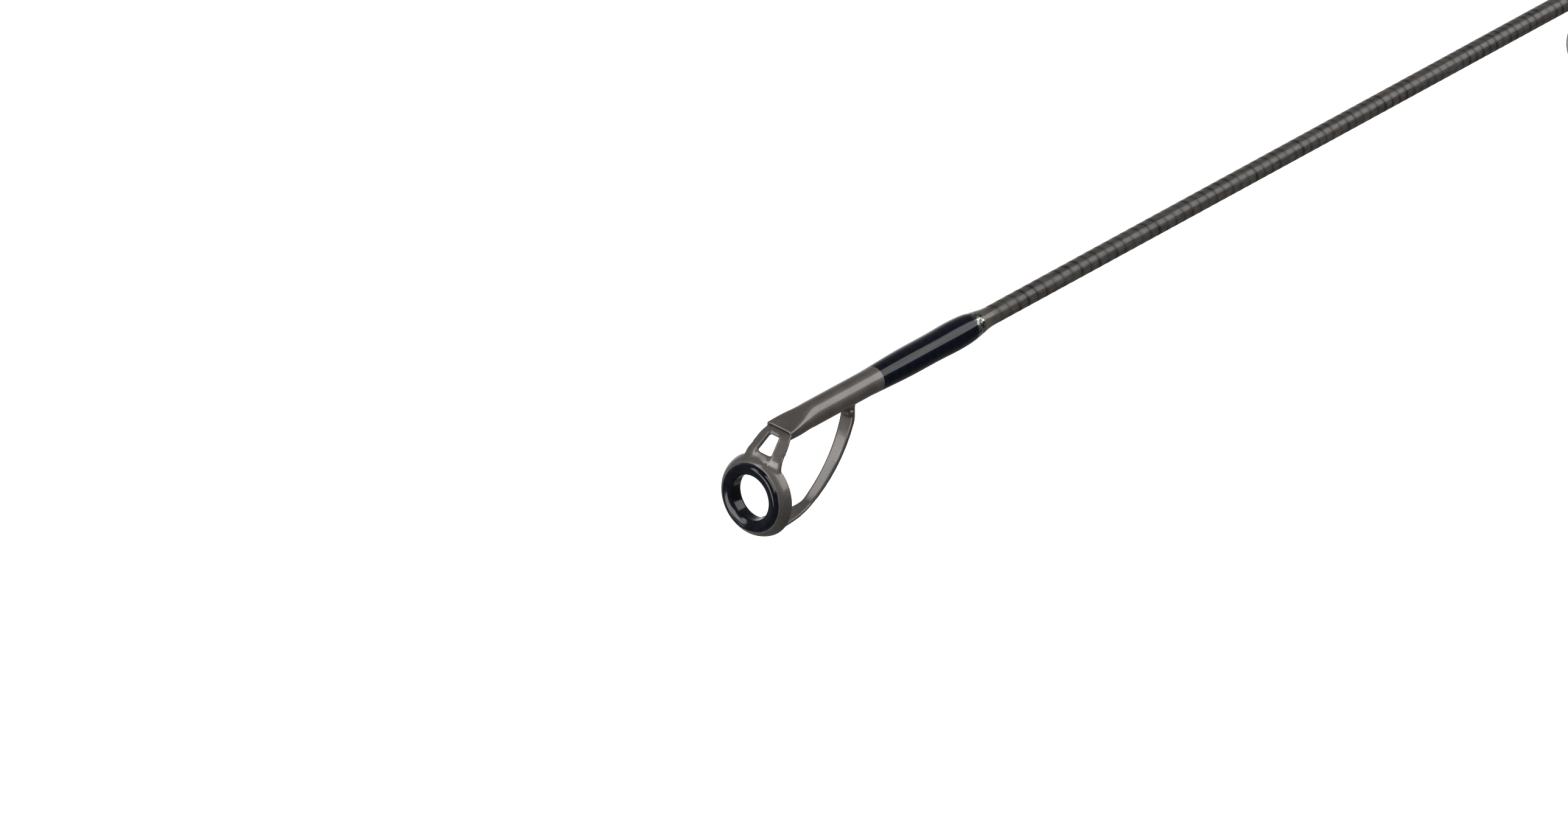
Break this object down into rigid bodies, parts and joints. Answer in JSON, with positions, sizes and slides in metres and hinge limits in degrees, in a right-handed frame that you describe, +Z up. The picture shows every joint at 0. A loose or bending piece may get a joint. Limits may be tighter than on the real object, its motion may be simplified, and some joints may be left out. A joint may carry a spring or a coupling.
{
  "type": "spinning rod",
  "caption": "Two-piece spinning rod with a tapered carbon blank, spigot joint, reel seat with sliding hood and lock nut, ringed line guides and a three-legged tip-top.",
  "frame": {"origin": "centre of the butt cap's flat end", "axes": "+X along the rod to the tip, +Z up, guides and reel on the -Z side"},
  "size_m": [1.8034, 0.0272, 0.0523],
  "materials": {
    "carbon": "unsanded carbon fibre with tape ridges",
    "guide_metal": "satin gunmetal coating",
    "ring_ceramic": "polished black",
    "wrap": "black thread under glossy resin",
    "silver_thread": "metallic thread under resin",
    "resin": "clear resin over the blank",
    "foam": "fine closed-cell foam",
    "cap_rubber": "moulded rubber",
    "trim_metal": "anodised gunmetal",
    "seat_plastic": "moulded, fine matt",
    "hood_plastic": "moulded, satin",
    "arbor": "rigid foam"
  },
  "bodies": {
    "butt_section": {"butt_cap": "cap_rubber", "rear_grip": "foam", "rear_grip_check": "trim_metal", "butt_blank": "carbon", "tail_ring": "foam", "reel_seat_body": "seat_plastic", "rear_arbor": "arbor", "front_arbor": "arbor", "fixed_hood": "hood_plastic", "fore_grip": "foam", "fore_grip_check": "trim_metal", "hook_keeper": "guide_metal", "hook_keeper_wraps": "wrap", "spigot": "carbon", "butt_joint_wrap": "wrap", "butt_joint_trim": "silver_thread", "guide_6_frame": "guide_metal", "guide_6_ring": "ring_ceramic", "guide_6_wraps": "wrap"},
    "sliding_hood": {"sliding_hood": "hood_plastic"},
    "lock_nut": {"lock_nut": "trim_metal"},
    "tip_section": {"tip_joint_wrap": "wrap", "tip_joint_trim": "silver_thread", "tip_blank": "carbon", "guide_1_frame": "guide_metal", "guide_1_ring": "ring_ceramic", "guide_1_wraps": "wrap", "guide_2_frame": "guide_metal", "guide_2_ring": "ring_ceramic", "guide_2_wraps": "wrap", "guide_3_frame": "guide_metal", "guide_3_ring": "ring_ceramic", "guide_3_wraps": "wrap", "guide_4_frame": "guide_metal", "guide_4_ring": "ring_ceramic", "guide_4_wraps": "wrap", "guide_5_frame": "guide_metal", "guide_5_ring": "ring_ceramic", "guide_5_wraps": "wrap", "tip_top_tube": "guide_metal", "tip_top_frame": "guide_metal", "tip_top_ring": "ring_ceramic", "tip_wrap": "wrap", "tip_trim_band": "silver_thread", "tip_wrap_tail": "resin"}
  },
  "joints": [
    {"name": "section_pull", "type": "slide", "parent": "butt_section", "child": "tip_section", "axis": [1, 0, 0], "range_m": [0, 0.07]},
    {"name": "hood_slide", "type": "slide", "parent": "butt_section", "child": "sliding_hood", "axis": [1, 0, 0], "range_m": [0, 0.016]},
    {"name": "nut_turn", "type": "hinge", "parent": "sliding_hood", "child": "lock_nut", "pos_m": [0.231, 0, 0], "axis": [1, 0, 0], "range_deg": [0, 2880]}
  ],
  "couplings": [
    {"joint": "hood_slide", "follows": "nut_turn", "m_per_rad": 0.0003183}
  ]
}
